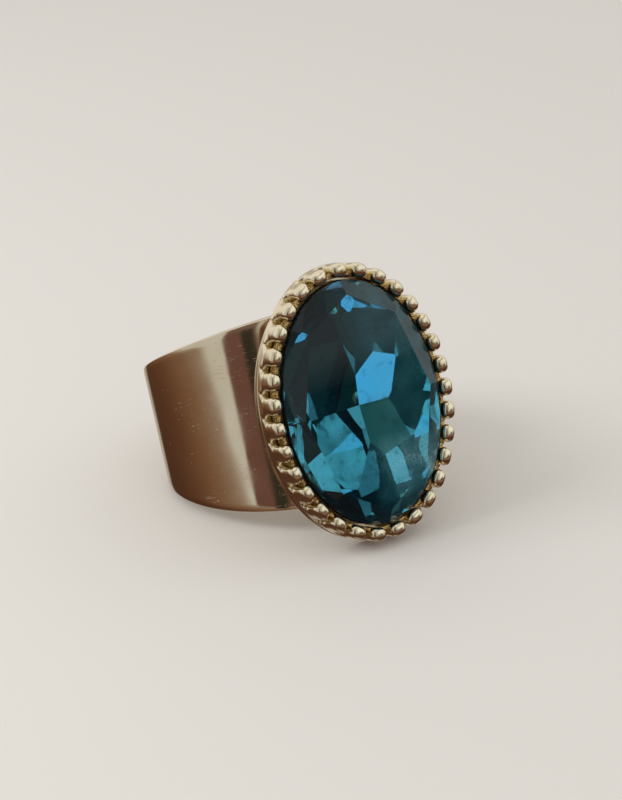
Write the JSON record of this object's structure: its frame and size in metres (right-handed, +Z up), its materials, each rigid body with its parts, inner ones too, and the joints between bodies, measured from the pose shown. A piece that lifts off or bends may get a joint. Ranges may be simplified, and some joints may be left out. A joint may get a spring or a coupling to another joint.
{
  "type": "cocktail ring",
  "caption": "Wide tapered gold-coloured finger ring with a large oval faceted blue-green stone in a beaded setting, lying on its side.",
  "frame": {"origin": "on the table under the middle of the ring: centre of the bounding box in X and Y, lowest point in Z", "axes": "+Z up from the table the ring lies on, -Y the way the stone faces, +X to the right of a person who looks at the stone"},
  "size_m": [0.0196, 0.0274, 0.021],
  "materials": {
    "polished_gold": "polished, pale gold plate",
    "cast_gold": "as cast, deeper gold",
    "solder": "satin",
    "blue_glass": "polished faceted glass",
    "foil": "bright foil",
    "glue": "cured clear adhesive"
  },
  "bodies": {
    "root": {"shank": "polished_gold", "setting_cup": "polished_gold", "base_rim": "polished_gold", "collar": "cast_gold", "stone_bearing": "cast_gold", "solder_fillet": "solder", "stone": "blue_glass", "foil_backing": "foil", "adhesive_bed": "glue", "bead_01": "polished_gold", "bead_02": "polished_gold", "bead_03": "polished_gold", "bead_04": "polished_gold", "bead_05": "polished_gold", "bead_06": "polished_gold", "bead_07": "polished_gold", "bead_08": "polished_gold", "bead_09": "polished_gold", "bead_10": "polished_gold", "bead_11": "polished_gold", "bead_12": "polished_gold", "bead_13": "polished_gold", "bead_14": "polished_gold", "bead_15": "polished_gold", "bead_16": "polished_gold", "bead_17": "polished_gold", "bead_18": "polished_gold", "bead_19": "polished_gold", "bead_20": "polished_gold", "bead_21": "polished_gold", "bead_22": "polished_gold", "bead_23": "polished_gold", "bead_24": "polished_gold", "bead_25": "polished_gold", "bead_26": "polished_gold", "bead_27": "polished_gold", "bead_28": "polished_gold", "bead_29": "polished_gold", "bead_30": "polished_gold", "bead_31": "polished_gold"}
  },
  "joints": []
}
